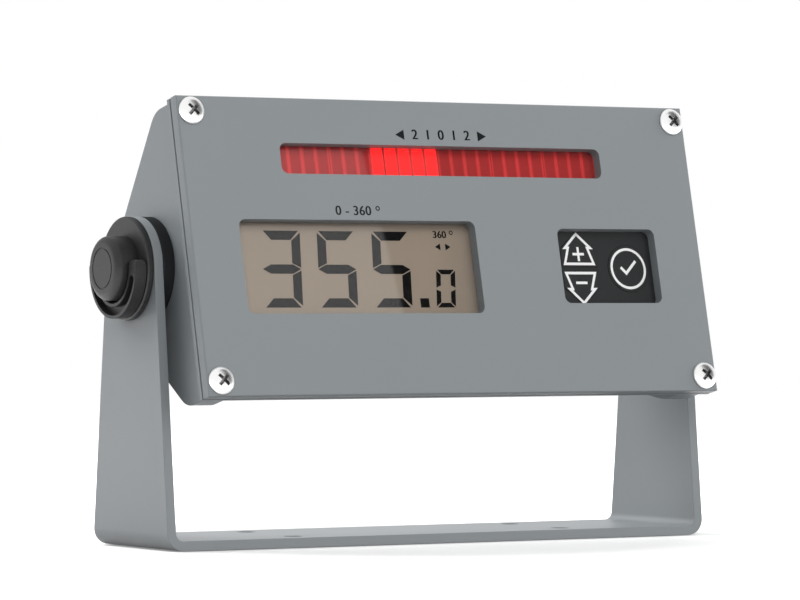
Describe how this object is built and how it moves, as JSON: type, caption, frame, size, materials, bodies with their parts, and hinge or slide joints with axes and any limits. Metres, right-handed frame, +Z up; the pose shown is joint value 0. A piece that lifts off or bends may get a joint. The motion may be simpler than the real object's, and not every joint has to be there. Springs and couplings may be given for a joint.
{
  "type": "compass repeater display",
  "caption": "Bracket-mounted heading display with turn bar, number window and dimmer keys, held at any tilt by two side clamp knobs.",
  "frame": {"origin": "centre of the four base bolt holes, on the bracket's underside", "axes": "+X to the right along the tilt axis, +Y to the rear, +Z up; -Z is the direction in which the base bolts leave"},
  "size_m": [0.2302, 0.0835, 0.1475],
  "materials": {
    "bracket_paint": "satin grey powder coat on steel plate",
    "housing_paint": "satin grey powder coat on cast aluminium",
    "black_rubber": "matt",
    "stainless": "bright stainless",
    "red_pane": "tinted clear acrylic",
    "bar_case": "moulded",
    "bar_light": "red diffuser",
    "clear_pane": "clear",
    "lcd_cell": "grey-beige liquid crystal cell",
    "black_plastic": "moulded",
    "light_guide": "white diffuser",
    "key_film": "printed film",
    "board_green": "solder mask",
    "brass": "turned",
    "capacitor_can": "sleeved",
    "terminal_green": "moulded",
    "gland_nylon": "moulded nylon",
    "knob_plastic": "moulded glass-filled nylon"
  },
  "bodies": {
    "bracket": {"bracket": "bracket_paint"},
    "housing": {"rear_housing": "housing_paint", "front_lid": "housing_paint", "lid_gasket": "black_rubber", "lid_screws": "stainless", "bar_filter": "red_pane", "bar_modules": "bar_case", "bar_segments": "bar_light", "lcd_window": "clear_pane", "lcd_glass": "lcd_cell", "lcd_frame": "black_plastic", "lcd_backlight": "light_guide", "keypad_overlay": "key_film", "key_switches": "black_plastic", "main_board": "board_green", "board_standoffs": "brass", "board_screws": "stainless", "processor_chip": "black_plastic", "driver_chips": "black_plastic", "capacitors": "capacitor_can", "terminal_block": "terminal_green", "terminal_screws": "stainless", "gland_body": "gland_nylon", "gland_washer": "black_rubber", "gland_seal": "black_rubber", "gland_nut": "gland_nylon", "gland_locknut": "gland_nylon", "insert_left": "brass", "insert_right": "brass", "spacer_left": "black_rubber", "spacer_right": "black_rubber"},
    "up_key": {"key_up": "key_film"},
    "down_key": {"key_down": "key_film"},
    "set_key": {"key_set": "key_film"},
    "left_washer": {"washer_left": "knob_plastic"},
    "left_knob": {"knob_left": "knob_plastic", "stud_left": "stainless", "grip_pins_left": "stainless"},
    "left_grip": {"grip_left": "knob_plastic"},
    "right_washer": {"washer_right": "knob_plastic"},
    "right_knob": {"knob_right": "knob_plastic", "stud_right": "stainless", "grip_pins_right": "stainless"},
    "right_grip": {"grip_right": "knob_plastic"}
  },
  "joints": [
    {"name": "housing_tilt", "type": "hinge", "parent": "bracket", "child": "housing", "pos_m": [0, 0, 0.0914], "axis": [1, 0, 0], "range_deg": [-180, 180]},
    {"name": "key_up_press", "type": "slide", "parent": "housing", "child": "up_key", "axis": [0, 0.974, -0.2267], "range_m": [0, 0.0004], "stiffness_N_per_m": 1500},
    {"name": "key_down_press", "type": "slide", "parent": "housing", "child": "down_key", "axis": [0, 0.974, -0.2267], "range_m": [0, 0.0004], "stiffness_N_per_m": 1500},
    {"name": "key_set_press", "type": "slide", "parent": "housing", "child": "set_key", "axis": [0, 0.974, -0.2267], "range_m": [0, 0.0004], "stiffness_N_per_m": 1500},
    {"name": "left_washer_slide", "type": "slide", "parent": "housing", "child": "left_washer", "axis": [-1, 0, 0], "range_m": [0, 0.002]},
    {"name": "left_knob_turn", "type": "hinge", "parent": "left_washer", "child": "left_knob", "pos_m": [-0.11, 0, 0.0914], "axis": [-1, 0, 0], "range_deg": [0, 720]},
    {"name": "left_grip_fold", "type": "hinge", "parent": "left_knob", "child": "left_grip", "pos_m": [-0.1093, 0, 0.0922], "axis": [0, 1, 0], "range_deg": [0, 90]},
    {"name": "right_washer_slide", "type": "slide", "parent": "housing", "child": "right_washer", "axis": [1, 0, 0], "range_m": [0, 0.002]},
    {"name": "right_knob_turn", "type": "hinge", "parent": "right_washer", "child": "right_knob", "pos_m": [0.11, 0, 0.0914], "axis": [1, 0, 0], "range_deg": [0, 720]},
    {"name": "right_grip_fold", "type": "hinge", "parent": "right_knob", "child": "right_grip", "pos_m": [0.1093, -0.0008, 0.0914], "axis": [0, 0, -1], "range_deg": [0, 90]}
  ],
  "couplings": [
    {"joint": "left_washer_slide", "follows": "left_knob_turn", "m_per_rad": 0.000159},
    {"joint": "right_washer_slide", "follows": "right_knob_turn", "m_per_rad": 0.000159}
  ]
}
